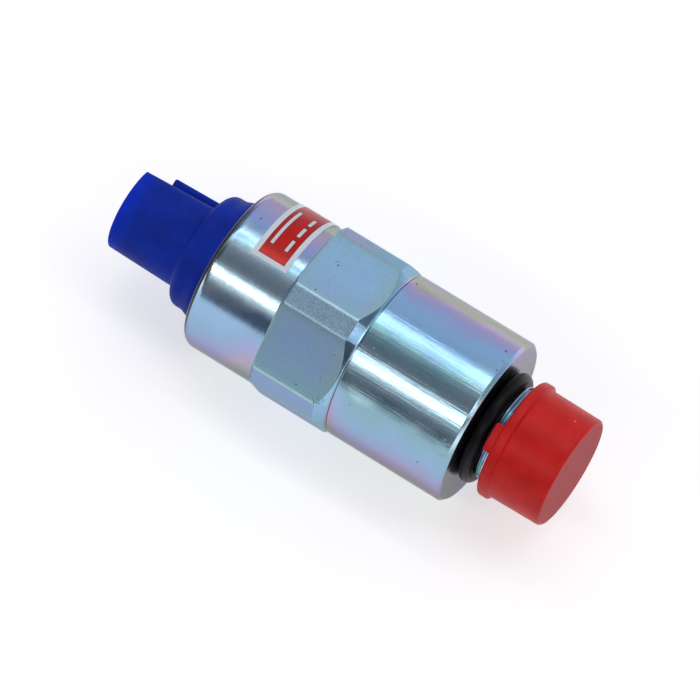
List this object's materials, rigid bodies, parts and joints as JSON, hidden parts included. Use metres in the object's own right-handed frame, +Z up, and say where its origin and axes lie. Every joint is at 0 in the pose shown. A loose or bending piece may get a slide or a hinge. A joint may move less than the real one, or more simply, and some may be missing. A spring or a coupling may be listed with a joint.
{
  "type": "fuel pump solenoid",
  "caption": "Stop solenoid for a diesel fuel pump: steel hexagon body, threaded nose under a push-on cap, sprung plunger and a round plug socket.",
  "frame": {"origin": "centre of the sealing shoulder, on the axis", "axes": "+X along the axis towards the threaded nose, +Z up and normal to one flat of the hexagon, on which the part lies"},
  "size_m": [0.0777, 0.0292, 0.027],
  "materials": {
    "plated_steel": "bright zinc plating with a faint rainbow tint",
    "black_rubber": "smooth black rubber",
    "blue_plastic": "satin blue moulding",
    "tinned_brass": "tin plated strip",
    "bare_steel": "turned",
    "stainless_steel": "drawn",
    "spring_steel": "drawn wire",
    "bobbin_plastic": "moulded",
    "copper_wire": "enamelled",
    "red_label": "red field with a pale border",
    "red_plastic": "soft moulded plastic, a little dusty"
  },
  "bodies": {
    "solenoid": {"housing": "plated_steel", "nose_o_ring": "black_rubber", "connector_body": "blue_plastic", "terminal_left": "tinned_brass", "terminal_right": "tinned_brass", "connector_seal": "black_rubber", "rear_flux_plate": "bare_steel", "bobbin": "bobbin_plastic", "winding": "copper_wire", "coil_lead_left": "copper_wire", "coil_lead_right": "copper_wire", "fixed_core": "bare_steel", "guide_tube": "stainless_steel", "tube_seal": "black_rubber", "coil_washer": "black_rubber", "residual_shim": "stainless_steel", "return_spring": "spring_steel", "rating_label": "red_label"},
    "plunger": {"plunger": "bare_steel", "plunger_tip": "black_rubber"},
    "cap": {"protective_cap": "red_plastic"}
  },
  "joints": [
    {"name": "plunger_slide", "type": "slide", "parent": "solenoid", "child": "plunger", "axis": [1, 0, 0], "range_m": [-0.0025, 0], "stiffness_N_per_m": 800, "springref_m": 0.004, "deforming": ["return_spring"]},
    {"name": "cap_pull", "type": "slide", "parent": "solenoid", "child": "cap", "axis": [1, 0, 0], "range_m": [0, 0.02]}
  ]
}
